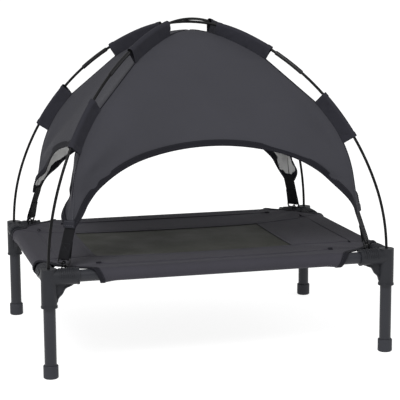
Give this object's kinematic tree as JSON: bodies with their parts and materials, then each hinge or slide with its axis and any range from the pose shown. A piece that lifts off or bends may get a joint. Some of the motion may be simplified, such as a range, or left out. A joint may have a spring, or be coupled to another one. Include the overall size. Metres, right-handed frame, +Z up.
{
  "type": "raised dog bed with canopy",
  "caption": "Raised pet bed: tube frame in corner brackets, stretched fabric surface with a mesh centre, and a lift-off dome canopy on crossed hoops.",
  "frame": {"origin": "on the floor, under the middle of the bed", "axes": "+X along the long side, -Y the front, +Z up"},
  "size_m": [0.6128, 0.4628, 0.5717],
  "materials": {
    "bracket_plastic": "moulded satin",
    "tube_coat": "powder coated",
    "foot_rubber": "matte",
    "bed_cloth": "coated oxford weave",
    "mesh_cloth": "open coated mesh",
    "hoop_rod": "glass fibre rod",
    "ferrule_coat": "satin",
    "canopy_cloth": "coated oxford weave, silver inside",
    "webbing": "woven webbing",
    "ring_plastic": "moulded satin",
    "elastic": "braided elastic"
  },
  "bodies": {
    "frame": {"corner_bracket_fl": "bracket_plastic", "corner_bracket_fr": "bracket_plastic", "corner_bracket_bl": "bracket_plastic", "corner_bracket_br": "bracket_plastic", "long_rail_front": "tube_coat", "long_rail_back": "tube_coat", "short_rail_left": "tube_coat", "short_rail_right": "tube_coat", "bed_fabric": "bed_cloth", "mesh_panel": "mesh_cloth"},
    "canopy": {"hoop_a_middle": "hoop_rod", "hoop_a_end_bl": "hoop_rod", "hoop_a_end_fr": "hoop_rod", "hoop_b_middle": "hoop_rod", "hoop_b_end_fl": "hoop_rod", "hoop_b_end_br": "hoop_rod", "ferrule_fl": "ferrule_coat", "ferrule_fr": "ferrule_coat", "ferrule_bl": "ferrule_coat", "ferrule_br": "ferrule_coat", "canopy_front": "canopy_cloth", "canopy_back": "canopy_cloth", "canopy_left": "canopy_cloth", "canopy_right": "canopy_cloth", "upper_sleeve_fl": "canopy_cloth", "upper_sleeve_fr": "canopy_cloth", "upper_sleeve_bl": "canopy_cloth", "upper_sleeve_br": "canopy_cloth", "lower_sleeve_fl": "canopy_cloth", "lower_sleeve_fr": "canopy_cloth", "lower_sleeve_bl": "canopy_cloth", "lower_sleeve_br": "canopy_cloth", "corner_tail_fl": "canopy_cloth", "corner_tail_fr": "canopy_cloth", "corner_tail_bl": "canopy_cloth", "corner_tail_br": "canopy_cloth"},
    "leg_fl": {"leg_tube_fl": "tube_coat", "foot_cap_fl": "foot_rubber"},
    "leg_fr": {"leg_tube_fr": "tube_coat", "foot_cap_fr": "foot_rubber"},
    "leg_bl": {"leg_tube_bl": "tube_coat", "foot_cap_bl": "foot_rubber"},
    "leg_br": {"leg_tube_br": "tube_coat", "foot_cap_br": "foot_rubber"},
    "strap_fl_swing_body": {"strap_fl": "webbing", "strap_ring_fl": "ring_plastic", "elastic_loop_fl": "elastic"},
    "strap_fr_swing_body": {"strap_fr": "webbing", "strap_ring_fr": "ring_plastic", "elastic_loop_fr": "elastic"},
    "strap_bl_swing_body": {"strap_bl": "webbing", "strap_ring_bl": "ring_plastic", "elastic_loop_bl": "elastic"},
    "strap_br_swing_body": {"strap_br": "webbing", "strap_ring_br": "ring_plastic", "elastic_loop_br": "elastic"}
  },
  "joints": [
    {"name": "leg_fl_pull", "type": "slide", "parent": "frame", "child": "leg_fl", "axis": [0, 0, -1], "range_m": [0, 0.06]},
    {"name": "leg_fr_pull", "type": "slide", "parent": "frame", "child": "leg_fr", "axis": [0, 0, -1], "range_m": [0, 0.06]},
    {"name": "leg_bl_pull", "type": "slide", "parent": "frame", "child": "leg_bl", "axis": [0, 0, -1], "range_m": [0, 0.06]},
    {"name": "leg_br_pull", "type": "slide", "parent": "frame", "child": "leg_br", "axis": [0, 0, -1], "range_m": [0, 0.06]},
    {"name": "canopy_lift", "type": "slide", "parent": "frame", "child": "canopy", "axis": [0, 0, 1], "range_m": [0, 0.3]},
    {"name": "strap_fl_swing", "type": "hinge", "parent": "canopy", "child": "strap_fl_swing_body", "pos_m": [-0.25066, -0.18628, 0.2417], "axis": [0.5965, -0.8026, 0], "range_deg": [0, 70], "deforming": ["elastic_loop_fl"]},
    {"name": "strap_fr_swing", "type": "hinge", "parent": "canopy", "child": "strap_fr_swing_body", "pos_m": [0.25066, -0.18628, 0.2417], "axis": [0.5965, 0.8026, 0], "range_deg": [0, 70], "deforming": ["elastic_loop_fr"]},
    {"name": "strap_bl_swing", "type": "hinge", "parent": "canopy", "child": "strap_bl_swing_body", "pos_m": [-0.25066, 0.18628, 0.2417], "axis": [-0.5965, -0.8026, 0], "range_deg": [0, 70], "deforming": ["elastic_loop_bl"]},
    {"name": "strap_br_swing", "type": "hinge", "parent": "canopy", "child": "strap_br_swing_body", "pos_m": [0.25066, 0.18628, 0.2417], "axis": [-0.5965, 0.8026, 0], "range_deg": [0, 70], "deforming": ["elastic_loop_br"]}
  ]
}
